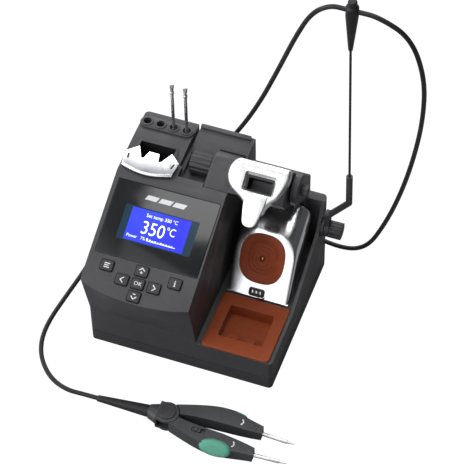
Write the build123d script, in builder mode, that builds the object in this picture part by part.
from build123d import *
from math import cos, radians, sin, tan
import os

os.makedirs("parts", exist_ok=True)

# Driving dimensions of the station, in mm. The origin is the middle of the footprint, on the bench.
WIDTH, DEPTH, HEIGHT = 175.0, 156.0, 147.5
LEFT, RIGHT = -WIDTH / 2, WIDTH / 2
FRONT, REAR = -DEPTH / 2, DEPTH / 2
SEAM = 14.0             # height of the joint between base tray and housing
WALL = 3.0
CORNER = 4.0            # radius of the upright corners

# Control column: its top face slopes back at FACE_TILT through the front edge of the display window.
COLUMN_RIGHT = 15.0
FACE_TILT = 25.8
FACE_Y, FACE_Z = -62.6, 111.1
SLOPE_END = 6.0         # where the slope turns into the nearly level top
TOP_START = 52.0
BULGE_LOW, BULGE_HIGH = 45.0, 112.0
BULGE_SIDE, BULGE_MIDDLE = 15.3, 24.4   # how far the leaning front wall stands out at BULGE_HIGH

WINDOW_X, WINDOW_S = -35.0, 34.6        # middle of the display window on the sloping face
WINDOW_WIDTH, WINDOW_LENGTH = 96.0, 69.3
LCD_S = 32.5

KEY_SIZE = (11.6, 9.4, 5.2)
KEY_RISE = 1.4
KEY_GAP = 0.4
KEY_PLACES = {
    "key_menu": (-68.0, -10.0),
    "key_up": (-36.0, -7.0),
    "key_left": (-51.0, -18.8),
    "key_ok": (-36.0, -18.8),
    "key_right": (-21.0, -18.8),
    "key_down": (-36.0, -30.6),
    "key_info": (-4.0, -10.0),
}

# Right side: low front deck, cleaner bay and the rear wall.
DECK_TOP = 36.0
TRAY_X, TRAY_WIDTH = 52.2, 64.0
TRAY_FRONT, TRAY_BACK = FRONT + 0.4, -14.5
TRAY_TOP, TRAY_LIP = 38.6, 2.4
CLEANER_X = 50.75
COVER_HALF = 29.25
COVER_OUTLINE = [(-11.9, 37.0), (20.0, 92.0), (52.0, 108.0), (52.0, 37.0)]
SHEET = 1.2
PLATE_TILT = 30.1       # the cover's front plate, from upright

# Tool holder, which tilts on a shaft along X.
PIVOT_Y, PIVOT_Z = 40.0, 141.0
SHAFT_R = 3.0
RUNNING = 0.05
HOLDER_X = 42.6
HOLDER_TILT = 34.5
HOLDER_TOP_Y, HOLDER_TOP_Z = 34.0, 171.0
HOLDER_SHEET = 1.6

# Cord arm, which tilts on a stub along X on the right side.
ARM_Y, ARM_Z = 63.0, 69.0
HEAD_X, HEAD_Z = 107.0, 351.0
CORD_R = 2.15

# Hand tool, lying on the bench in front of the station with its length along X.
TOOL_Y = -142.0
TOOL_HINGE_X = 12.0


def face_z(y):
    return FACE_Z + (y - FACE_Y) * tan(radians(FACE_TILT))


def save(piece, name):
    piece.part.label = name
    export_step(piece.part, f"parts/{name}.step")


face_plane = Plane(origin=(0, FACE_Y, FACE_Z), x_dir=(1, 0, 0),
                   z_dir=(0, -sin(radians(FACE_TILT)), cos(radians(FACE_TILT))))
plate_plane = Plane(origin=(CLEANER_X, COVER_OUTLINE[0][0], COVER_OUTLINE[0][1]), x_dir=(1, 0, 0),
                    z_dir=(0, -cos(radians(PLATE_TILT)), sin(radians(PLATE_TILT))))
holder_plane = Plane(origin=(HOLDER_X, HOLDER_TOP_Y, HOLDER_TOP_Z), x_dir=(1, 0, 0),
                     z_dir=(0, -sin(radians(HOLDER_TILT)), cos(radians(HOLDER_TILT))))

# ---------------------------------------------------------------- base

FOOT_PLACES = [(x, y) for x in (LEFT + 14, RIGHT - 14) for y in (FRONT + 14, REAR - 14)]
SCREW_PLACES = [(x, y) for x in (LEFT + 30, RIGHT - 30) for y in (FRONT + 9, REAR - 9)]
FOOT_R, FOOT_DEEP = 7.0, 1.5
HEAD_R, SHANK_R = 3.0, 1.5
FLOOR = 3.0

with BuildPart() as base_tray:
    with BuildSketch():
        RectangleRounded(WIDTH, DEPTH, CORNER)
    extrude(amount=SEAM)
    chamfer(base_tray.faces().sort_by(Axis.Z)[-1].edges(), 0.5)
    with BuildSketch(Plane.XY.offset(FLOOR)):
        RectangleRounded(WIDTH - 2 * WALL, DEPTH - 2 * WALL, CORNER - WALL + 1)
    extrude(amount=SEAM, mode=Mode.SUBTRACT)
    with BuildSketch(Plane.XY.offset(FLOOR)):
        with Locations(*SCREW_PLACES):
            Circle(4.5)
    extrude(amount=SEAM - FLOOR)
    with BuildSketch():
        with Locations(*FOOT_PLACES):
            Circle(FOOT_R)
    extrude(amount=FOOT_DEEP, mode=Mode.SUBTRACT)
    with BuildSketch():
        with Locations(*SCREW_PLACES):
            Circle(HEAD_R)
    extrude(amount=2.0, mode=Mode.SUBTRACT)
    with BuildSketch():
        with Locations(*SCREW_PLACES):
            Circle(SHANK_R)
    extrude(amount=SEAM, mode=Mode.SUBTRACT)
save(base_tray, "base_tray")

with BuildPart() as base_feet:
    with BuildSketch():
        with Locations(*FOOT_PLACES):
            Circle(FOOT_R)
    extrude(amount=FOOT_DEEP)
save(base_feet, "base_feet")

with BuildPart() as base_screws:
    with BuildSketch(Plane.XY.offset(0.6)):
        with Locations(*SCREW_PLACES):
            Circle(HEAD_R)
    extrude(amount=1.4)
    with BuildSketch(Plane.XY.offset(2.0)):
        with Locations(*SCREW_PLACES):
            Circle(SHANK_R)
    extrude(amount=11.0)
    with BuildSketch(Plane.XY.offset(0.6)):
        with Locations(*SCREW_PLACES):
            RegularPolygon(1.4, 6)
    extrude(amount=0.8, mode=Mode.SUBTRACT)
save(base_screws, "base_screws")

# ---------------------------------------------------------------- main housing

COLUMN_OUTLINE = [
    (FRONT, SEAM), (FRONT, BULGE_LOW), (FRONT + 10, BULGE_LOW), (FRONT + 10, face_z(FRONT + 10)),
    (SLOPE_END, face_z(SLOPE_END)), (TOP_START, HEIGHT), (REAR, HEIGHT), (REAR, SEAM),
]
CAVITY_OUTLINE = [
    (FRONT + WALL, SEAM), (FRONT + WALL, 45.0), (FRONT - 7.5, 86.0), (FRONT - 7.5, face_z(FRONT - 7.5) - 3.5),
    (SLOPE_END, face_z(SLOPE_END) - 3.5), (TOP_START, HEIGHT - WALL), (REAR - WALL, HEIGHT - WALL),
    (REAR - WALL, SEAM),
]
BAY_FLOOR = 130.0               # floor of the bay that the knob and the stand's left cheek sit in
CAVITY_SPLIT = -38.0
CAVITY_RIGHT_OUTLINE = CAVITY_OUTLINE[:4] + [
    (SLOPE_END - 1, face_z(SLOPE_END - 1) - 3.5), (12.0, BAY_FLOOR - WALL), (REAR - WALL, BAY_FLOOR - WALL),
    (REAR - WALL, SEAM),
]
CHEEK_IN = RIGHT - WALL
CHEEK_OUTLINE = [
    (FRONT, SEAM), (FRONT, DECK_TOP), (-19.0, DECK_TOP + 2), (53.0, 71.0), (69.0, 97.0), (REAR, 97.0),
    (REAR, SEAM),
]
REAR_WALL_OUTLINE = [(66.0, DECK_TOP), (66.0, 90.0), (69.0, 97.0), (REAR, 97.0), (REAR, DECK_TOP)]
TOWER_RIGHT, TOWER_FRONT = 18.0, 56.0
GROOVE = (-36.2, -33.4)         # dark step between the left block and the sunk right part
KNOB_BAY = (-33.4, -8.5, 28.0, 50.5)
CHEEK_BAY = (-8.5, COLUMN_RIGHT + 1.0, 11.5, 58.0)
RIDGE = (-33.4, 14.5, 73.6, 2.3)        # left, right, front and height of the ridge along the rear top edge
TOWER_SLOPE = ((KNOB_BAY[3] - 1.0, 140.5), (63.0, HEIGHT), (KNOB_BAY[3] - 1.0, HEIGHT))
RACK_HOLES = [-81.0, -68.4, -55.8, -43.2]
RACK_Y = 64.8
SOCKET_R = 5.1
PULLER_X = -61.3
POCKET = (16.4, 21.0, 42.0, 126.0)     # half width, front, back and lowest face of the puller's pocket

with BuildPart() as main_housing:
    with BuildSketch(Plane.YZ.offset(LEFT)):
        with BuildLine():
            Polyline(*COLUMN_OUTLINE, close=True)
        make_face()
    extrude(amount=COLUMN_RIGHT - LEFT)
    # rear tower beside the holder
    with BuildSketch(Plane.YZ.offset(COLUMN_RIGHT)):
        with BuildLine():
            Polyline((TOWER_FRONT, SEAM), (TOWER_FRONT, HEIGHT), (REAR, HEIGHT), (REAR, SEAM), close=True)
        make_face()
    extrude(amount=TOWER_RIGHT - COLUMN_RIGHT)
    # deck under the wiping tray and the cleaner
    with BuildSketch(Plane.YZ.offset(COLUMN_RIGHT)):
        with BuildLine():
            Polyline((FRONT, SEAM), (FRONT, DECK_TOP), (REAR, DECK_TOP), (REAR, SEAM), close=True)
        make_face()
    extrude(amount=RIGHT - COLUMN_RIGHT)
    with BuildSketch(Plane.YZ.offset(CHEEK_IN)):
        with BuildLine():
            Polyline(*CHEEK_OUTLINE, close=True)
        make_face()
    extrude(amount=WALL)
    with BuildSketch(Plane.YZ.offset(COLUMN_RIGHT)):
        with BuildLine():
            Polyline(*REAR_WALL_OUTLINE, close=True)
        make_face()
    extrude(amount=RIGHT - COLUMN_RIGHT)
    # upright corners
    with BuildSketch():
        Rectangle(WIDTH, DEPTH)
        RectangleRounded(WIDTH, DEPTH, CORNER, mode=Mode.SUBTRACT)
    extrude(amount=HEIGHT + 1, mode=Mode.SUBTRACT)
    # the front wall leans out above BULGE_LOW, and bows in plan
    for height, side, middle in ((BULGE_LOW, 0.0, 0.3), (BULGE_HIGH, BULGE_SIDE, BULGE_MIDDLE)):
        with BuildSketch(Plane.XY.offset(height)):
            with BuildLine():
                Line((LEFT, FRONT + 20), (LEFT, FRONT - side + CORNER))
                ThreePointArc((LEFT, FRONT - side + CORNER),
                              (LEFT + 0.293 * CORNER, FRONT - side + 0.293 * CORNER),
                              (LEFT + CORNER, FRONT - side))
                ThreePointArc((LEFT + CORNER, FRONT - side),
                              ((LEFT + COLUMN_RIGHT) / 2, FRONT - middle), (COLUMN_RIGHT, FRONT - side))
                Polyline((COLUMN_RIGHT, FRONT - side), (COLUMN_RIGHT, FRONT + 20), (LEFT, FRONT + 20))
            make_face()
    loft()
    with BuildSketch(Plane.YZ.offset(LEFT)):
        with BuildLine():
            Polyline((FRONT - 40, face_z(FRONT - 40)), (FRONT + 30, face_z(FRONT + 30)),
                     (FRONT - 40, face_z(FRONT + 30)), close=True)
        make_face()
    extrude(amount=COLUMN_RIGHT - LEFT, mode=Mode.SUBTRACT)
    # hollow of the column, of the deck and of the rear wall
    with BuildSketch(Plane.YZ.offset(LEFT + WALL)):
        with BuildLine():
            Polyline(*CAVITY_OUTLINE, close=True)
        make_face()
    extrude(amount=CAVITY_SPLIT - LEFT - WALL, mode=Mode.SUBTRACT)
    with BuildSketch(Plane.YZ.offset(CAVITY_SPLIT)):
        with BuildLine():
            Polyline(*CAVITY_RIGHT_OUTLINE, close=True)
        make_face()
    extrude(amount=COLUMN_RIGHT - WALL - CAVITY_SPLIT, mode=Mode.SUBTRACT)
    with BuildSketch(Plane.XY.offset(SEAM)):
        with Locations(((COLUMN_RIGHT + RIGHT) / 2, 30.0)):
            Rectangle(RIGHT - COLUMN_RIGHT - 2 * WALL, 2 * (REAR - WALL - 30.0))
    extrude(amount=DECK_TOP - WALL - SEAM, mode=Mode.SUBTRACT)
    # seat of the wiping tray
    with BuildSketch(Plane.XY.offset(SEAM + WALL)):
        with Locations((TRAY_X, (TRAY_FRONT + TRAY_BACK) / 2)):
            RectangleRounded(TRAY_WIDTH - 6.0, TRAY_BACK - TRAY_FRONT - 6.0, 3.0)
    extrude(amount=DECK_TOP, mode=Mode.SUBTRACT)
    # display window and its aperture
    with BuildSketch(face_plane):
        with Locations((WINDOW_X, WINDOW_S)):
            RectangleRounded(WINDOW_WIDTH + 1.0, WINDOW_LENGTH + 1.0, 1.5)
    extrude(amount=-1.7, mode=Mode.SUBTRACT)
    with BuildSketch(face_plane):
        with Locations((WINDOW_X, LCD_S)):
            Rectangle(76.0, 36.0)
    extrude(amount=-9.0, mode=Mode.SUBTRACT)
    # key holes
    with BuildSketch(face_plane):
        with Locations(*KEY_PLACES.values()):
            RectangleRounded(KEY_SIZE[0] + 2 * KEY_GAP, KEY_SIZE[1] + 2 * KEY_GAP, 1.4)
    extrude(amount=-9.0, mode=Mode.SUBTRACT)
    # room for the keypad board
    with BuildSketch(face_plane.offset(-3.4)):
        with Locations((WINDOW_X - 1.0, -13.0)):
            Rectangle(88.0, 24.0)
        with Locations((WINDOW_X - 1.0, -30.0)):
            Rectangle(30.0, 14.0)
    extrude(amount=-7.0, mode=Mode.SUBTRACT)
    # groove, knob bay, puller pocket and rack sockets
    with BuildSketch(Plane.XY.offset(HEIGHT - 9.0)):
        with Locations(((GROOVE[0] + GROOVE[1]) / 2, (28.0 + REAR) / 2)):
            Rectangle(GROOVE[1] - GROOVE[0], REAR - 28.0 + 2.0)
    extrude(amount=20.0, mode=Mode.SUBTRACT)
    with BuildSketch(Plane.XY.offset(BAY_FLOOR)):
        for low_x, high_x, low_y, high_y in (KNOB_BAY, CHEEK_BAY):
            with Locations(((low_x + high_x) / 2, (low_y + high_y) / 2)):
                Rectangle(high_x - low_x, high_y - low_y)
    extrude(amount=40.0, mode=Mode.SUBTRACT)
    with BuildSketch(Plane.XY.offset(POCKET[3])):
        with Locations((PULLER_X, (POCKET[1] + POCKET[2]) / 2)):
            Rectangle(2 * POCKET[0] + 3.0, POCKET[2] - POCKET[1] + 3.0)
    extrude(amount=40.0, mode=Mode.SUBTRACT)
    with BuildSketch(Plane.XY.offset(100.0)):
        with Locations(*[(x, RACK_Y) for x in RACK_HOLES]):
            Circle(SOCKET_R)
    extrude(amount=60.0, mode=Mode.SUBTRACT)
    # sloping face behind the knob, and the ridge along the rear edge
    with BuildSketch(Plane.YZ.offset(GROOVE[1])):
        with BuildLine():
            Polyline(*TOWER_SLOPE, close=True)
        make_face()
    extrude(amount=TOWER_RIGHT - GROOVE[1], mode=Mode.SUBTRACT)
    with BuildSketch(Plane.XY.offset(HEIGHT - 1.0)):
        with Locations(((RIDGE[0] + RIDGE[1]) / 2, (RIDGE[2] + REAR) / 2)):
            RectangleRounded(RIDGE[1] - RIDGE[0], REAR - RIDGE[2], 1.2)
    extrude(amount=RIDGE[3] + 1.0)
    # opening behind the rear panel
    with BuildSketch(Plane.XZ.offset(-REAR + 5.0)):
        with Locations((-34.0, 62.0)):
            Rectangle(88.0, 84.0)
    extrude(amount=-10.0, mode=Mode.SUBTRACT)
save(main_housing, "main_housing")

with BuildPart() as rear_panel:
    with BuildSketch(Plane.XZ.offset(-REAR)):
        with Locations((-34.0, 62.0)):
            RectangleRounded(94.0, 90.0, 3.0)
        with Locations((-56.0, 40.0)):
            Rectangle(28.0, 20.0, mode=Mode.SUBTRACT)
        with Locations((-56.0, 62.0)):
            Rectangle(24.0, 12.0, mode=Mode.SUBTRACT)
        with Locations((-10.0, 46.0)):
            Rectangle(20.0, 28.0, mode=Mode.SUBTRACT)
        with GridLocations(6.0, 30.0, 12, 1):
            with Locations((-34.0, 90.0)):
                SlotOverall(24.0, 2.4, rotation=90, mode=Mode.SUBTRACT)
    extrude(amount=-2.0)
save(rear_panel, "rear_panel")

# ---------------------------------------------------------------- control face

with BuildPart() as display_window:
    with BuildSketch(face_plane.offset(-1.7)):
        with Locations((WINDOW_X, WINDOW_S)):
            RectangleRounded(WINDOW_WIDTH, WINDOW_LENGTH, 1.0)
    extrude(amount=1.6)
save(display_window, "display_window")

with BuildPart() as lcd_module:
    with BuildSketch(face_plane.offset(-1.8)):
        with Locations((WINDOW_X, LCD_S)):
            Rectangle(72.0, 33.0)
    extrude(amount=-5.0)
save(lcd_module, "lcd_module")

KEY_SEAT = KEY_RISE - KEY_SIZE[2]
with BuildPart() as keypad_board:
    with BuildSketch(face_plane.offset(KEY_SEAT - 1.4)):
        with Locations((WINDOW_X - 1.0, -13.0)):
            Rectangle(86.0, 22.0)
        with Locations((WINDOW_X - 1.0, -29.0)):
            Rectangle(28.0, 13.0)
    extrude(amount=-1.6)
save(keypad_board, "keypad_board")

for key_name, key_place in KEY_PLACES.items():
    with BuildPart() as key:
        with BuildSketch(face_plane.offset(KEY_SEAT)):
            with Locations(key_place):
                RectangleRounded(KEY_SIZE[0], KEY_SIZE[1], 1.0)
        extrude(amount=KEY_SIZE[2])
        fillet(key.faces().filter_by(face_plane).sort_by(Axis.Z)[-1].edges(), 0.6)
    save(key, key_name)

# ---------------------------------------------------------------- inside the column

with BuildPart() as transformer:
    with BuildSketch(Plane.XY.offset(FLOOR)):
        with Locations((-50.0, 18.0)):
            Rectangle(56.0, 46.0)
    extrude(amount=56.0)
    with BuildSketch(Plane.XY.offset(FLOOR + 8.0)):
        with Locations((-50.0, 18.0)):
            RectangleRounded(48.0, 60.0, 6.0)
    extrude(amount=40.0)
save(transformer, "transformer")

with BuildPart() as control_board:
    with BuildSketch(Plane.XY.offset(78.0)):
        with Locations((-36.0, 8.0)):
            Rectangle(84.0, 96.0)
    extrude(amount=1.6)
    with BuildSketch(Plane.XY.offset(79.6)):
        with GridLocations(26.0, 30.0, 3, 3):
            with Locations((-36.0, 8.0)):
                Rectangle(12.0, 14.0)
    extrude(amount=7.0)
    with BuildSketch(Plane.XY.offset(FLOOR)):
        with Locations((-74.0, -36.0), (2.0, -36.0), (-74.0, 50.0), (2.0, 50.0)):
            Circle(3.0)
    extrude(amount=75.0)
save(control_board, "control_board")

# ---------------------------------------------------------------- rear fittings

INLET_X, INLET_Z = -56.0, 40.0
with BuildPart() as mains_inlet:
    with BuildSketch(Plane.XZ.offset(-REAR - 2.0)):
        with Locations((INLET_X, INLET_Z)):
            RectangleRounded(33.0, 25.0, 3.0)
    extrude(amount=-2.0)
    with BuildSketch(Plane.XZ.offset(-REAR - 2.0)):
        with Locations((INLET_X, INLET_Z)):
            Rectangle(27.6, 19.6)
    extrude(amount=18.0)
    with BuildSketch(Plane.XZ.offset(-REAR - 4.0)):
        with Locations((INLET_X, INLET_Z)):
            Rectangle(21.0, 14.0)
    extrude(amount=16.0, mode=Mode.SUBTRACT)
    # the three contact blades stand on the socket's floor
    with BuildSketch(Plane.XZ.offset(-REAR + 12.0)):
        with Locations((INLET_X - 6.0, INLET_Z - 2.0), (INLET_X, INLET_Z + 2.5), (INLET_X + 6.0, INLET_Z - 2.0)):
            Rectangle(1.8, 4.4)
    extrude(amount=-8.0)
save(mains_inlet, "mains_inlet")

FUSE_X, FUSE_Z = -56.0, 62.0
with BuildPart() as fuse_housing:
    with BuildSketch(Plane.XZ.offset(-REAR - 2.0)):
        with Locations((FUSE_X, FUSE_Z)):
            RectangleRounded(28.0, 16.0, 2.0)
    extrude(amount=-1.5)
    with BuildSketch(Plane.XZ.offset(-REAR - 2.0)):
        with Locations((FUSE_X, FUSE_Z)):
            Rectangle(23.6, 11.6)
    extrude(amount=24.0)
    with BuildSketch(Plane.XZ.offset(-REAR - 3.5)):
        with Locations((FUSE_X, FUSE_Z)):
            Rectangle(20.6, 8.6)
    extrude(amount=23.5, mode=Mode.SUBTRACT)
save(fuse_housing, "fuse_housing")

with BuildPart() as fuse_drawer:
    with BuildSketch(Plane.XZ.offset(-REAR - 4.0)):
        with Locations((FUSE_X, FUSE_Z)):
            RectangleRounded(24.0, 12.0, 1.0)
    extrude(amount=-2.0)
    with BuildSketch(Plane.XZ.offset(-REAR - 4.0)):
        with Locations((FUSE_X, FUSE_Z)):
            Rectangle(19.8, 7.8)
    extrude(amount=22.0)
    with BuildSketch(Plane.XZ.offset(-REAR - 6.0)):
        with Locations((FUSE_X, FUSE_Z)):
            Rectangle(10.0, 2.0)
    extrude(amount=1.0, mode=Mode.SUBTRACT)
save(fuse_drawer, "fuse_drawer")

SWITCH_X, SWITCH_Y, SWITCH_Z = -10.0, 78.0, 46.0
with BuildPart() as switch_frame:
    with BuildSketch(Plane.XZ.offset(-REAR - 2.0)):
        with Locations((SWITCH_X, SWITCH_Z)):
            RectangleRounded(24.0, 32.0, 2.0)
    extrude(amount=-2.0)
    with BuildSketch(Plane.XZ.offset(-REAR - 2.0)):
        with Locations((SWITCH_X, SWITCH_Z)):
            Rectangle(19.6, 27.6)
    extrude(amount=18.0)
    with BuildSketch(Plane.XZ.offset(-REAR - 4.0)):
        with Locations((SWITCH_X, SWITCH_Z)):
            Rectangle(17.0, 25.0)
    extrude(amount=18.0, mode=Mode.SUBTRACT)
save(switch_frame, "switch_frame")

with BuildPart() as power_switch:
    with BuildSketch(Plane.YZ.offset(SWITCH_X - 8.0)):
        with BuildLine():
            Polyline((SWITCH_Y + 4.2, SWITCH_Z), (SWITCH_Y + 7.2, SWITCH_Z + 10.4), (SWITCH_Y, SWITCH_Z + 10.6),
                     (SWITCH_Y - 5.0, SWITCH_Z), (SWITCH_Y, SWITCH_Z - 11.2), (SWITCH_Y + 4.2, SWITCH_Z - 11.6),
                     close=True)
        make_face()
    extrude(amount=16.0)
save(power_switch, "power_switch")

GLAND_X, GLAND_Y, GLAND_Z = 64.0, 88.0, 18.0
GLAND_END = 80.0
with BuildPart() as cord_gland:
    with BuildSketch(Plane.XZ.offset(-REAR)):
        with Locations((GLAND_X, GLAND_Z)):
            Circle(8.5)
    extrude(amount=-2.0)
    with BuildSketch(Plane.XZ.offset(-REAR - 2.0)):
        with Locations((GLAND_X, GLAND_Z)):
            Circle(6.2)
    extrude(amount=-(GLAND_Y - REAR + 2.0))
    with BuildSketch(Plane.YZ.offset(GLAND_X)):
        with Locations((GLAND_Y, GLAND_Z)):
            Circle(5.0)
    with BuildSketch(Plane.YZ.offset(GLAND_END)):
        with Locations((GLAND_Y, GLAND_Z)):
            Circle(3.2)
    loft()
save(cord_gland, "cord_gland")

# ---------------------------------------------------------------- cartridge rack and puller

RACK_BORE_R = 3.6
with BuildPart() as tip_rack:
    with BuildSketch(Plane.XY.offset(HEIGHT)):
        with Locations(((RACK_HOLES[0] + RACK_HOLES[-1]) / 2, RACK_Y)):
            SlotOverall(RACK_HOLES[-1] - RACK_HOLES[0] + 13.6, 13.6)
    extrude(amount=1.6)
    with BuildSketch(Plane.XY.offset(HEIGHT - 24.0)):
        with Locations(*[(x, RACK_Y) for x in RACK_HOLES]):
            Circle(SOCKET_R - 0.1)
    extrude(amount=24.0)
    with BuildSketch(Plane.XY.offset(HEIGHT + 1.6)):
        with Locations(*[(x, RACK_Y) for x in RACK_HOLES]):
            Circle(5.3)
    extrude(amount=1.0)
    with BuildSketch(Plane.XY.offset(HEIGHT - 21.0)):
        with Locations(*[(x, RACK_Y) for x in RACK_HOLES]):
            Circle(RACK_BORE_R)
    extrude(amount=40.0, mode=Mode.SUBTRACT)
save(tip_rack, "tip_rack")

CARTRIDGE_R, SPARE_TOP = 3.1, 206.5
for spare_name, spare_x in (("spare_cartridge_left", RACK_HOLES[2]), ("spare_cartridge_right", RACK_HOLES[3])):
    with BuildPart() as spare:
        with BuildSketch(Plane.XZ.offset(-RACK_Y)):
            with BuildLine():
                Polyline((spare_x, HEIGHT - 20.7), (spare_x + CARTRIDGE_R, HEIGHT - 20.7),
                         (spare_x + CARTRIDGE_R, HEIGHT + 0.6), (spare_x + 1.7, HEIGHT + 2.6),
                         (spare_x + 1.5, SPARE_TOP - 12.0), (spare_x + 1.9, SPARE_TOP - 10.0),
                         (spare_x + 1.7, SPARE_TOP - 5.0), (spare_x + 0.7, SPARE_TOP), (spare_x, SPARE_TOP),
                         close=True)
            make_face()
        revolve(axis=Axis((spare_x, RACK_Y, 0), (0, 0, 1)))
    save(spare, spare_name)

PULLER_TOP = 149.2
PULLER_OUTLINE = [
    (-24.0, 12.0), (-25.3, 26.0), (-15.5, 35.0), (-9.2, 22.0), (-7.0, 22.4), (-4.8, 31.0), (4.8, 31.0),
    (7.0, 22.4), (9.2, 22.0), (15.5, 35.0), (25.3, 26.0), (24.0, 12.0),
]
with BuildPart() as puller_base:
    with BuildSketch(Plane.XY.offset(HEIGHT - 4.5)):
        with BuildLine():
            Polyline((PULLER_X - 22.0, 12.5), (PULLER_X - 22.5, 26.0), (PULLER_X - POCKET[0] - 2.0, POCKET[2]),
                     (PULLER_X + POCKET[0] + 2.0, POCKET[2]), (PULLER_X + 22.5, 26.0),
                     (PULLER_X + 22.0, 12.5))
            ThreePointArc((PULLER_X + 22.0, 12.5), (PULLER_X, 8.5), (PULLER_X - 22.0, 12.5))
        make_face()
    extrude(amount=5.0)
    # the base sits on the housing, and its pocket hangs through the housing's opening
    with BuildSketch(Plane.YZ.offset(PULLER_X - 40.0)):
        with BuildLine():
            Polyline(*COLUMN_OUTLINE, close=True)
        make_face()
    extrude(amount=80.0, mode=Mode.SUBTRACT)
    with BuildSketch(Plane.XY.offset(POCKET[3])):
        with Locations((PULLER_X, (POCKET[1] + POCKET[2]) / 2)):
            Rectangle(2 * POCKET[0] + 2.6, POCKET[2] - POCKET[1] + 2.6)
    extrude(amount=HEIGHT + 0.5 - POCKET[3])
    with BuildSketch(Plane.XY.offset(POCKET[3] + 1.3)):
        with Locations((PULLER_X, (POCKET[1] + POCKET[2]) / 2)):
            Rectangle(2 * POCKET[0], POCKET[2] - POCKET[1])
    extrude(amount=40.0, mode=Mode.SUBTRACT)
save(puller_base, "puller_base")

with BuildPart() as puller_plate:
    with BuildSketch(Plane.XY.offset(HEIGHT + 0.5)):
        with BuildLine():
            Polyline(*[(PULLER_X + x, y) for x, y in PULLER_OUTLINE])
            ThreePointArc((PULLER_X + 24.0, 12.0), (PULLER_X, 6.8), (PULLER_X - 24.0, 12.0))
        make_face()
        with Locations((PULLER_X - 21.0, 21.0), (PULLER_X + 21.0, 21.0)):
            SlotOverall(6.5, 1.8, rotation=80, mode=Mode.SUBTRACT)
    extrude(amount=PULLER_TOP - HEIGHT - 0.5)
save(puller_plate, "puller_plate")

# ---------------------------------------------------------------- stand and holder

CHEEK_LEFT = (-8.5, 16.0, 15.0)
CHEEK_FRONT = (12.0, 144.8)     # foot of the left cheek's sloping front
CHEEK_RIGHT = (68.0, 75.0, 14.8)
BACK_PLATE = (20.0, 73.0, 55.5, 65.5)
CARRIER = (17.0, 67.2)

with BuildPart() as stand_cheek:
    with BuildSketch(Plane.YZ.offset(CHEEK_LEFT[0])):
        with BuildLine():
            Line(CHEEK_FRONT, (33.819, 154.668))
            ThreePointArc((33.819, 154.668), (PIVOT_Y + CHEEK_LEFT[2] * cos(radians(45)),
                                              PIVOT_Z + CHEEK_LEFT[2] * sin(radians(45))),
                          (PIVOT_Y + CHEEK_LEFT[2], PIVOT_Z))
            Polyline((PIVOT_Y + CHEEK_LEFT[2], PIVOT_Z), (PIVOT_Y + CHEEK_LEFT[2], BAY_FLOOR - 5.0),
                     (CHEEK_FRONT[0], BAY_FLOOR - 5.0), CHEEK_FRONT)
        make_face()
    extrude(amount=CHEEK_LEFT[1] - CHEEK_LEFT[0])
    left_edges = stand_cheek.faces().sort_by(Axis.X)[0].edges()
    fillet(left_edges.filter_by(lambda e: e.center().Z > 148.0), 3.0)
    with BuildSketch(Plane.XY.offset(BAY_FLOOR - 30.0)):
        with Locations((4.5, PIVOT_Y)):
            Rectangle(40.0, 80.0)
    extrude(amount=30.0, mode=Mode.SUBTRACT)
    with BuildSketch(Plane.YZ.offset(CHEEK_LEFT[0] - 1.0)):
        with Locations((PIVOT_Y, PIVOT_Z)):
            Circle(SHAFT_R + RUNNING)
    extrude(amount=CHEEK_LEFT[1] - CHEEK_LEFT[0] + 2.0, mode=Mode.SUBTRACT)
save(stand_cheek, "stand_cheek")

with BuildPart() as stand_frame:
    with BuildSketch(Plane.XY.offset(DECK_TOP)):
        with Locations(((BACK_PLATE[0] + BACK_PLATE[1]) / 2, (BACK_PLATE[2] + BACK_PLATE[3]) / 2)):
            Rectangle(BACK_PLATE[1] - BACK_PLATE[0], BACK_PLATE[3] - BACK_PLATE[2])
    extrude(amount=134.0 - DECK_TOP)
    with BuildSketch(Plane.YZ.offset(CHEEK_RIGHT[0])):
        with Locations((PIVOT_Y, PIVOT_Z)):
            Circle(CHEEK_RIGHT[2])
        with BuildLine():
            Polyline((27.6, PIVOT_Z - 8.0), (BACK_PLATE[2], 112.0), (BACK_PLATE[3], 112.0),
                     (BACK_PLATE[3], 134.0), (52.4, PIVOT_Z + 8.0), (40.0, PIVOT_Z), close=True)
        make_face()
    extrude(amount=CHEEK_RIGHT[1] - CHEEK_RIGHT[0])
    fillet(stand_frame.faces().sort_by(Axis.X)[-1].edges(), 1.9)
    with BuildSketch(Plane.YZ.offset(CHEEK_RIGHT[0] - 1.0)):
        with Locations((PIVOT_Y, PIVOT_Z)):
            Circle(SHAFT_R + RUNNING)
    extrude(amount=CHEEK_RIGHT[1] - CHEEK_RIGHT[0] + 2.0, mode=Mode.SUBTRACT)
save(stand_frame, "stand_frame")

with BuildPart() as holder_shaft:
    with BuildSketch(Plane.YZ.offset(-27.0)):
        with Locations((PIVOT_Y, PIVOT_Z)):
            Circle(SHAFT_R)
    extrude(amount=108.0)
    with BuildSketch(Plane.YZ.offset(CHEEK_RIGHT[1] + 0.2)):
        with Locations((PIVOT_Y, PIVOT_Z)):
            RegularPolygon(5.4, 6)
    extrude(amount=5.6)
save(holder_shaft, "holder_shaft")

with BuildPart() as holder_knob:
    with BuildSketch(Plane.YZ.offset(-28.6)):
        with Locations((PIVOT_Y, PIVOT_Z)):
            Circle(9.6)
            with PolarLocations(9.0, 14):
                Circle(1.3)
    extrude(amount=19.1)
    with BuildSketch(Plane.YZ.offset(-27.1)):
        with Locations((PIVOT_Y, PIVOT_Z)):
            Circle(SHAFT_R + RUNNING)
    extrude(amount=18.0, mode=Mode.SUBTRACT)
save(holder_knob, "holder_knob")

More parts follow.
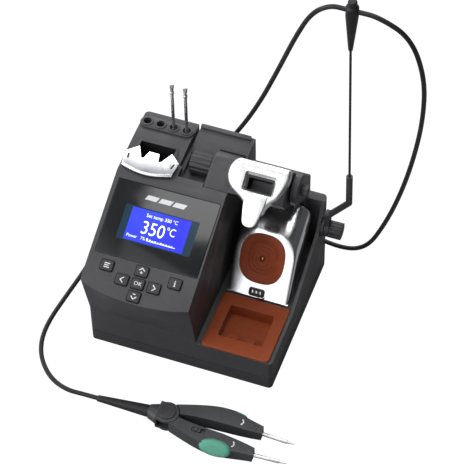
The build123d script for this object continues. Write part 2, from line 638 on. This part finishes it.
WINDOW_TOP, WINDOW_LOW, WINDOW_HALF = -14.8, -26.0, 11.2
with BuildPart() as tool_holder:
    with BuildSketch(holder_plane):
        with BuildLine():
            Polyline((-24.4, 0.0), (24.4, 0.0))
            Bezier((24.4, 0.0), (27.0, -12.0), (25.5, -22.0), (19.5, -29.0))
            Bezier((19.5, -29.0), (13.5, -33.5), (11.0, -36.0), (9.5, -40.0))
            Line((9.5, -40.0), (6.8, -53.0))
            ThreePointArc((6.8, -53.0), (0.0, -58.4), (-6.8, -53.0))
            Line((-6.8, -53.0), (-9.5, -40.0))
            Bezier((-9.5, -40.0), (-11.0, -36.0), (-13.5, -33.5), (-19.5, -29.0))
            Bezier((-19.5, -29.0), (-25.5, -22.0), (-27.0, -12.0), (-24.4, 0.0))
        make_face()
        with Locations((0.0, (WINDOW_TOP + WINDOW_LOW) / 2)):
            RectangleRounded(2 * WINDOW_HALF, WINDOW_TOP - WINDOW_LOW, 1.5, mode=Mode.SUBTRACT)
    extrude(amount=-HOLDER_SHEET)
save(tool_holder, "tool_holder")

with BuildPart() as holder_carrier:
    with BuildSketch(Plane.YZ.offset(CARRIER[0])):
        with BuildLine():
            Polyline((31.6, 167.1), (7.6, 150.6), (16.2, 136.9), (30.0, 129.5), (40.0, 129.0), (48.0, 132.5),
                     (52.0, 141.0), (49.5, 149.0), (41.0, 160.0), close=True)
        make_face()
    extrude(amount=CARRIER[1] - CARRIER[0])
    with BuildSketch(holder_plane):
        with Locations((0.0, (WINDOW_TOP + WINDOW_LOW) / 2)):
            Rectangle(2 * WINDOW_HALF - 1.0, WINDOW_TOP - WINDOW_LOW - 0.6)
    extrude(amount=-18.0, mode=Mode.SUBTRACT)
    with BuildSketch(holder_plane.offset(-HOLDER_SHEET)):
        Rectangle(80.0, 120.0)
    extrude(amount=30.0, mode=Mode.SUBTRACT)
    with BuildSketch(Plane.YZ.offset(CARRIER[0] - 1.0)):
        with Locations((PIVOT_Y, PIVOT_Z)):
            Circle(SHAFT_R)
    extrude(amount=60.0, mode=Mode.SUBTRACT)
save(holder_carrier, "holder_carrier")

# ---------------------------------------------------------------- tip cleaner

COVER_LEFT = CLEANER_X - COVER_HALF
MEMBRANE_PLACE, MEMBRANE_SIZE = (-1.9, 39.0), (42.0, 48.0)
WIPER_S = 5.6


def inset(outline, gap):
    """The cover's side outline moved in by the sheet's thickness, left open below and behind."""
    tilt, slab = radians(PLATE_TILT), radians(26.6)
    (y0, z0), (y1, z1), (y2, z2), (y3, z3) = outline
    return [(y0 + gap / cos(tilt) - 20.0 * tan(tilt), z0 - 20.0), (y1 + gap / cos(tilt) - 0.4, z1 - gap - 0.1),
            (y2 + 20.0, z2 - gap / cos(slab) + 20.0 * tan(slab)), (y3 + 20.0, z3 - 20.0)]


with BuildPart() as cleaner_cover:
    with BuildSketch(Plane.YZ.offset(COVER_LEFT)):
        with BuildLine():
            Polyline(*COVER_OUTLINE, close=True)
        make_face()
    extrude(amount=2 * COVER_HALF)
    front_edges = cleaner_cover.edges().filter_by(
        lambda e: abs(abs(e.center().X - CLEANER_X) - COVER_HALF) < 0.1 and e.center().Y < 40.0
        and e.center().Z > 50.0)
    fillet(front_edges, 4.0)
    with BuildSketch(Plane.YZ.offset(COVER_LEFT + SHEET)):
        with BuildLine():
            Polyline(*inset(COVER_OUTLINE, SHEET), close=True)
        make_face()
    extrude(amount=2 * (COVER_HALF - SHEET), mode=Mode.SUBTRACT)
    with BuildSketch(plate_plane.offset(-4.0)):
        with Locations(MEMBRANE_PLACE):
            SlotOverall(MEMBRANE_SIZE[1] - 4.0, MEMBRANE_SIZE[0] - 4.0, rotation=90)
        with Locations((0.0, WIPER_S)):
            Rectangle(12.0, 6.0)
    extrude(amount=8.0, mode=Mode.SUBTRACT)
save(cleaner_cover, "cleaner_cover")

with BuildPart() as cleaner_membrane:
    with BuildSketch(plate_plane.offset(-2.6)):
        with Locations(MEMBRANE_PLACE):
            SlotOverall(MEMBRANE_SIZE[1] - 4.2, MEMBRANE_SIZE[0] - 4.2, rotation=90)
    extrude(amount=2.6)
    with BuildSketch(plate_plane):
        with Locations(MEMBRANE_PLACE):
            SlotOverall(MEMBRANE_SIZE[1], MEMBRANE_SIZE[0], rotation=90)
    extrude(amount=0.9)
    with BuildSketch(plate_plane.offset(-3.0)):
        with Locations(MEMBRANE_PLACE):
            Circle(1.6)
    extrude(amount=8.0, mode=Mode.SUBTRACT)
save(cleaner_membrane, "cleaner_membrane")

with BuildPart() as tip_wiper:
    with BuildSketch(plate_plane.offset(-1.0)):
        with Locations((0.0, WIPER_S)):
            Rectangle(11.8, 5.8)
    extrude(amount=2.6)
    with BuildSketch(plate_plane):
        with Locations((0.0, WIPER_S)):
            RectangleRounded(15.0, 8.0, 2.0)
    extrude(amount=0.8)
save(tip_wiper, "tip_wiper")

CUP_R, CUP_LENGTH, CUP_GAP = 19.5, 24.0, 5.0
with BuildPart() as cleaner_cup:
    with BuildSketch(plate_plane.offset(-CUP_GAP)):
        with Locations(MEMBRANE_PLACE):
            Circle(CUP_R)
    extrude(amount=-CUP_LENGTH)
    with BuildSketch(Plane.XY.offset(DECK_TOP)):
        with Locations((CLEANER_X, 24.0)):
            Rectangle(20.0, 16.0)
    extrude(amount=18.0)
    with BuildSketch(plate_plane.offset(-CUP_GAP)):
        with Locations(MEMBRANE_PLACE):
            Circle(CUP_R - 1.4)
    extrude(amount=-(CUP_LENGTH - 1.6), mode=Mode.SUBTRACT)
save(cleaner_cup, "cleaner_cup")

with BuildPart() as brass_wool:
    with BuildSketch(plate_plane.offset(-CUP_GAP - 1.0)):
        with Locations(MEMBRANE_PLACE):
            Circle(CUP_R - 1.4)
    extrude(amount=-(CUP_LENGTH - 2.6))
save(brass_wool, "brass_wool")

with BuildPart() as wiping_tray:
    with BuildSketch(Plane.XY.offset(TRAY_TOP - TRAY_LIP)):
        with Locations((TRAY_X, (TRAY_FRONT + TRAY_BACK) / 2)):
            RectangleRounded(TRAY_WIDTH, TRAY_BACK - TRAY_FRONT, 4.0)
    extrude(amount=TRAY_LIP)
    fillet(wiping_tray.faces().sort_by(Axis.Z)[-1].edges(), 1.2)
    with BuildSketch(Plane.XY.offset(SEAM + WALL + 0.3)):
        with Locations((TRAY_X, (TRAY_FRONT + TRAY_BACK) / 2)):
            RectangleRounded(TRAY_WIDTH - 7.0, TRAY_BACK - TRAY_FRONT - 7.0, 3.0)
    extrude(amount=TRAY_TOP - TRAY_LIP - SEAM - WALL - 0.3)
    with BuildSketch(Plane.XY.offset(TRAY_TOP - 13.0)):
        with Locations((TRAY_X, (TRAY_FRONT + TRAY_BACK) / 2 + 0.6)):
            RectangleRounded(42.0, 36.0, 2.0)
    extrude(amount=20.0, mode=Mode.SUBTRACT)
    with BuildSketch(Plane.XY.offset(TRAY_TOP - 13.0)):
        with GridLocations(16.0, 26.0, 2, 1):
            with Locations((TRAY_X, (TRAY_FRONT + TRAY_BACK) / 2 - 14.0)):
                RectangleRounded(9.0, 7.0, 1.0)
    extrude(amount=9.0)
save(wiping_tray, "wiping_tray")

# ---------------------------------------------------------------- cord arm

BOSS_END = RIGHT + 3.0
with BuildPart() as cord_arm_boss:
    with BuildSketch(Plane.YZ.offset(RIGHT)):
        with Locations((ARM_Y, ARM_Z)):
            Circle(9.0)
    extrude(amount=BOSS_END - RIGHT)
    with BuildSketch(Plane.YZ.offset(BOSS_END)):
        with Locations((ARM_Y, ARM_Z)):
            Circle(3.0)
    extrude(amount=11.0)
save(cord_arm_boss, "cord_arm_boss")

ELBOW = (112.0, ARM_Y, 112.0)
SOCKET_END = (111.3, ARM_Y, 148.0)
with BuildPart() as cord_arm:
    with BuildSketch(Plane.YZ.offset(BOSS_END + 0.3)):
        with Locations((ARM_Y, ARM_Z)):
            Circle(8.0)
        with Locations((ARM_Y, ARM_Z + 11.0)):
            RectangleRounded(8.0, 24.0, 2.0)
    extrude(amount=4.2)
    with BuildLine():
        Polyline((BOSS_END + 2.4, ARM_Y, ARM_Z + 18.0), ELBOW, SOCKET_END)
    with BuildSketch(Plane(origin=(BOSS_END + 2.4, ARM_Y, ARM_Z + 18.0), x_dir=(0, 1, 0),
                           z_dir=(ELBOW[0] - BOSS_END - 2.4, 0, ELBOW[2] - ARM_Z - 18.0))):
        Circle(3.0)
    sweep(transition=Transition.ROUND)
    with BuildSketch(Plane.YZ.offset(BOSS_END)):
        with Locations((ARM_Y, ARM_Z)):
            Circle(3.0 + RUNNING)
    extrude(amount=12.0, mode=Mode.SUBTRACT)
save(cord_arm, "cord_arm")

with BuildPart() as cord_arm_knob:
    with BuildSketch(Plane.YZ.offset(BOSS_END + 4.8)):
        with Locations((ARM_Y, ARM_Z)):
            Circle(7.6)
            with PolarLocations(7.4, 14):
                Circle(0.8)
    extrude(amount=11.4)
    with BuildSketch(Plane.YZ.offset(BOSS_END + 4.8)):
        with Locations((ARM_Y, ARM_Z)):
            Circle(3.0 + RUNNING)
    extrude(amount=6.6, mode=Mode.SUBTRACT)
save(cord_arm_knob, "cord_arm_knob")

ROD_R = 1.1
rod_line = Vector(HEAD_X, ARM_Y, 308.0) - Vector(*SOCKET_END)
with BuildPart() as cord_rod:
    with BuildSketch(Plane(origin=SOCKET_END, x_dir=(0, 1, 0), z_dir=rod_line)):
        Circle(ROD_R)
    extrude(amount=rod_line.length + 2.0)
save(cord_rod, "cord_rod")

HEAD_HALF = 5.6
with BuildPart() as cord_head:
    with BuildSketch(Plane.XZ.offset(-ARM_Y)):
        with BuildLine():
            Polyline((HEAD_X, 306.0), (HEAD_X + 2.0, 306.0), (HEAD_X + HEAD_HALF, 345.0),
                     (HEAD_X + HEAD_HALF, 355.0), (HEAD_X + 4.0, 357.0), (HEAD_X, 357.0), close=True)
        make_face()
    revolve(axis=Axis((HEAD_X, ARM_Y, 0), (0, 0, 1)))
    with BuildSketch(Plane.YZ.offset(HEAD_X - 10.0)):
        with Locations((ARM_Y, HEAD_Z)):
            Circle(CORD_R + 0.5)
    extrude(amount=20.0, mode=Mode.SUBTRACT)
    with BuildSketch(Plane(origin=SOCKET_END, x_dir=(0, 1, 0), z_dir=rod_line)):
        Circle(ROD_R)
    extrude(amount=rod_line.length + 2.0, mode=Mode.SUBTRACT)
    with BuildSketch(Plane.XY.offset(357.0)):
        with Locations((HEAD_X, ARM_Y)):
            Circle(4.0)
    extrude(amount=5.0)
    fillet(cord_head.faces().sort_by(Axis.Z)[-1].edges(), 1.5)
save(cord_head, "cord_head")

# ---------------------------------------------------------------- hand tool

TOOL_Z = 8.0
BODY_R, BODY_LOW, BODY_HIGH = 11.0, 0.8, 15.2
PIN_R = 2.0
COLLAR_X, RELIEF_X, RELIEF_Z = -5.0, -55.0, 4.6
hinge_place = (TOOL_HINGE_X, TOOL_Y)

with BuildPart() as strain_relief:
    with BuildSketch(Plane.YZ.offset(RELIEF_X)):
        with Locations((TOOL_Y, RELIEF_Z)):
            Circle(2.9)
    with BuildSketch(Plane.YZ.offset(COLLAR_X)):
        with Locations((TOOL_Y, TOOL_Z)):
            Circle(5.8)
    loft()
save(strain_relief, "strain_relief")

with BuildPart() as tool_collar:
    with BuildSketch(Plane.YZ.offset(COLLAR_X)):
        with Locations((TOOL_Y, TOOL_Z)):
            Circle(6.6)
    with BuildSketch(Plane.YZ.offset(COLLAR_X + 8.0)):
        with Locations((TOOL_Y, TOOL_Z)):
            Ellipse(10.0, 7.1)
    loft()
save(tool_collar, "tool_collar")

with BuildPart() as tool_body:
    with BuildSketch(Plane.XY.offset(BODY_LOW)):
        with Locations(hinge_place):
            Circle(BODY_R)
        with Locations(((COLLAR_X + 8.0 + TOOL_HINGE_X) / 2, TOOL_Y)):
            Rectangle(TOOL_HINGE_X - COLLAR_X - 8.0, 20.0)
    extrude(amount=BODY_HIGH - BODY_LOW)
    split(bisect_by=Plane.YZ.offset(COLLAR_X + 8.0))
    with BuildSketch(Plane.XY.offset(BODY_LOW + 2.8)):
        with Locations((TOOL_HINGE_X + 5.0, TOOL_Y)):
            Rectangle(24.0, 40.0)
    extrude(amount=BODY_HIGH - BODY_LOW - 5.6, mode=Mode.SUBTRACT)
    with BuildSketch(Plane.XY.offset(BODY_LOW + 0.8)):
        with Locations(hinge_place):
            Circle(PIN_R)
    extrude(amount=20.0, mode=Mode.SUBTRACT)
save(tool_body, "tool_body")

with BuildPart() as hinge_pin:
    with BuildSketch(Plane.XY.offset(BODY_LOW + 0.8)):
        with Locations(hinge_place):
            Circle(PIN_R)
    extrude(amount=BODY_HIGH - BODY_LOW - 0.8)
    with BuildSketch(Plane.XY.offset(BODY_HIGH)):
        with Locations(hinge_place):
            Circle(8.0)
    extrude(amount=1.3)
    fillet(hinge_pin.faces().sort_by(Axis.Z)[-1].edges(), 0.6)
save(hinge_pin, "hinge_pin")

with BuildPart() as hinge_spring:
    with BuildSketch(Plane.XY.offset(7.1)):
        with Locations(hinge_place):
            Circle(4.6)
            Circle(2.5, mode=Mode.SUBTRACT)
    extrude(amount=1.8)
save(hinge_spring, "hinge_spring")

ARM_LOW, ARM_HIGH = 0.6, 15.0
ARM_GAP_R = BODY_R + 0.5
NOSE_X = 97.0
TIP_X, TIP_OUT, SEAT_X, SEAT_OUT = 127.5, 10.6, 84.0, 12.4
CARTRIDGE_Z = 5.4
TONGUES = {"upper": 9.3, "lower": 3.9}
SIDES = {"upper": 1.0, "lower": -1.0}


def arm_outline(side):
    """Draws one arm's outline from above; side is +1 or -1."""

    def place(x, out):
        return (x, TOOL_Y + side * out)

    inner_x = TOOL_HINGE_X + (ARM_GAP_R ** 2 - 1.7 ** 2) ** 0.5
    outer_x = TOOL_HINGE_X + (ARM_GAP_R ** 2 - 10.4 ** 2) ** 0.5
    ThreePointArc(place(outer_x, 10.4), place(TOOL_HINGE_X + ARM_GAP_R * cos(radians(38)),
                                              ARM_GAP_R * sin(radians(38))), place(inner_x, 1.7))
    Spline(place(inner_x, 1.7), place(45.0, 4.3), place(66.0, 5.3), place(NOSE_X, 8.0))
    Line(place(NOSE_X, 8.0), place(NOSE_X, 16.2))
    Spline(place(NOSE_X, 16.2), place(82.0, 18.6), place(62.0, 21.2), place(40.0, 17.6), place(outer_x, 10.4))


for side_name, side in SIDES.items():
    with BuildPart() as tool_arm:
        with BuildSketch(Plane.XY.offset(ARM_LOW)):
            with BuildLine():
                arm_outline(side)
            make_face()
        extrude(amount=ARM_HIGH - ARM_LOW)
        # the top falls towards the nose
        with BuildSketch(Plane.XZ.offset(-TOOL_Y - 40.0)):
            with BuildLine():
                Polyline((66.0, ARM_HIGH), (NOSE_X + 2.0, ARM_HIGH - 4.0), (NOSE_X + 2.0, ARM_HIGH + 4.0),
                         (66.0, ARM_HIGH + 4.0), close=True)
            make_face()
        extrude(amount=80.0, mode=Mode.SUBTRACT)
        with BuildSketch(Plane.XY.offset(TONGUES[side_name])):
            with Locations(hinge_place):
                Circle(5.0)
            with BuildLine():
                Polyline((TOOL_HINGE_X, TOOL_Y - side * 3.0), (TOOL_HINGE_X + 13.0, TOOL_Y + side * 1.9),
                         (TOOL_HINGE_X + 13.0, TOOL_Y + side * 7.0), (TOOL_HINGE_X, TOOL_Y + side * 4.5), close=True)
            make_face()
        extrude(amount=2.9)
        with BuildSketch(Plane.XY):
            with Locations(hinge_place):
                Circle(PIN_R + RUNNING)
        extrude(amount=20.0, mode=Mode.SUBTRACT)
        seat_line = Vector(TIP_X - SEAT_X, side * (TIP_OUT - SEAT_OUT), 0)
        seat_plane = Plane(origin=(SEAT_X, TOOL_Y + side * SEAT_OUT, CARTRIDGE_Z), x_dir=(0, 0, 1), z_dir=seat_line)
        with BuildSketch(seat_plane):
            Circle(1.7)
        extrude(amount=30.0, mode=Mode.SUBTRACT)
        if side_name == "lower":
            with BuildSketch(Plane.XY.offset(ARM_HIGH - 2.2)):
                with Locations((45.0, TOOL_Y - 9.0)):
                    RectangleRounded(13.0, 5.0, 1.0)
            extrude(amount=6.0, mode=Mode.SUBTRACT)
    save(tool_arm, f"tool_arm_{side_name}")

    with BuildPart() as cartridge:
        with BuildSketch(seat_plane):
            Circle(1.7)
        extrude(amount=seat_line.length - 7.0)
        with BuildSketch(seat_plane.offset(seat_line.length - 7.0)):
            Circle(1.3)
        with BuildSketch(seat_plane.offset(seat_line.length)):
            Circle(0.4)
        loft()
    save(cartridge, f"cartridge_{side_name}")

    with BuildPart() as grip_pad:
        with BuildSketch(Plane.XZ.offset(-TOOL_Y - side * 22.6)):
            with Locations((64.0, 7.6)):
                Ellipse(15.5, 5.6)
        extrude(amount=side * 7.0)
        with BuildSketch(Plane.XY.offset(ARM_LOW - 1.0)):
            with BuildLine():
                arm_outline(side)
            make_face()
        extrude(amount=ARM_HIGH + 2.0, mode=Mode.SUBTRACT)
    save(grip_pad, f"grip_pad_{side_name}")

with BuildPart() as align_slider:
    with BuildSketch(Plane.XY.offset(ARM_HIGH - 2.1)):
        with Locations((43.0, TOOL_Y - 9.0)):
            RectangleRounded(7.6, 4.2, 0.8)
    extrude(amount=2.6)
    with BuildSketch(Plane.XY.offset(ARM_HIGH + 0.5)):
        with Locations((43.0, TOOL_Y - 9.0)):
            RectangleRounded(2.4, 4.2, 0.8)
    extrude(amount=1.2)
save(align_slider, "align_slider")

# ---------------------------------------------------------------- tool cord

# Route from the gland up to the head of the cord arm.
CORD_RISE = [
    (GLAND_END, GLAND_Y, GLAND_Z), (101.0, 87.3, 13.5), (125.0, 86.0, 27.0), (141.0, 83.2, 70.0),
    (154.5, 79.5, 121.0), (165.0, 75.2, 178.0), (171.5, 71.0, 236.0), (171.0, 67.0, 290.0),
    (157.0, 64.3, 335.5), (129.0, ARM_Y, HEAD_Z), (HEAD_X + HEAD_HALF, ARM_Y, HEAD_Z),
]
# Route from the head down behind the station, along the bench on its left, to the hand tool.
CORD_FALL = [
    (HEAD_X - HEAD_HALF, ARM_Y, HEAD_Z), (88.0, ARM_Y, HEAD_Z), (71.5, 65.0, 335.0), (57.0, 69.4, 299.0),
    (40.0, 75.8, 248.0), (21.0, 83.0, 193.5), (0.0, 89.8, 144.0), (-25.0, 95.0, 97.0), (-52.0, 99.0, 50.0),
    (-78.0, 100.0, 15.0), (-100.0, 91.0, 2.4), (-116.0, 66.0, 2.2), (-121.5, 31.0, 2.2),
    (-122.5, -6.0, 2.2), (-127.5, -42.0, 2.2), (-131.5, -76.0, 2.2), (-129.0, -99.5, 2.2),
    (-120.0, -118.5, 2.2), (-104.0, -134.5, 2.2), (-86.0, -141.3, 2.2), (-70.0, -141.0, 2.7),
    (RELIEF_X, TOOL_Y, RELIEF_Z),
]


def corner_radii(points):
    """Each corner's radius is 0.45 of its shorter run over the tangent of half its turn."""
    places = [Vector(*point) for point in points]
    radii = []
    for before, here, after in zip(places, places[1:], places[2:]):
        arriving, leaving = here - before, after - here
        half_turn = radians(arriving.get_angle(leaving)) / 2
        radii.append(0.45 * min(arriving.length, leaving.length) / tan(half_turn))
    return radii


for cord_name, route in (("cord_to_head", CORD_RISE), ("cord_to_tool", CORD_FALL)):
    radii = corner_radii(route)
    print(cord_name, "radii", [round(radius, 1) for radius in radii])
    with BuildPart() as cord:
        with BuildLine() as cord_path:
            FilletPolyline(*route, radius=radii)
        with BuildSketch(Plane(origin=route[0], z_dir=cord_path.line % 0)):
            Circle(CORD_R)
        sweep()
    length = sum(edge.length for edge in cord_path.edges())
    print(cord_name, "length", round(length, 1), "volume", round(cord.part.volume, 1),
          "expected", round(3.14159 * CORD_R ** 2 * length, 1))
    save(cord, cord_name)

with BuildPart() as cord_in_head:
    with BuildSketch(Plane.YZ.offset(HEAD_X - HEAD_HALF)):
        with Locations((ARM_Y, HEAD_Z)):
            Circle(CORD_R)
    extrude(amount=2 * HEAD_HALF)
save(cord_in_head, "cord_in_head")
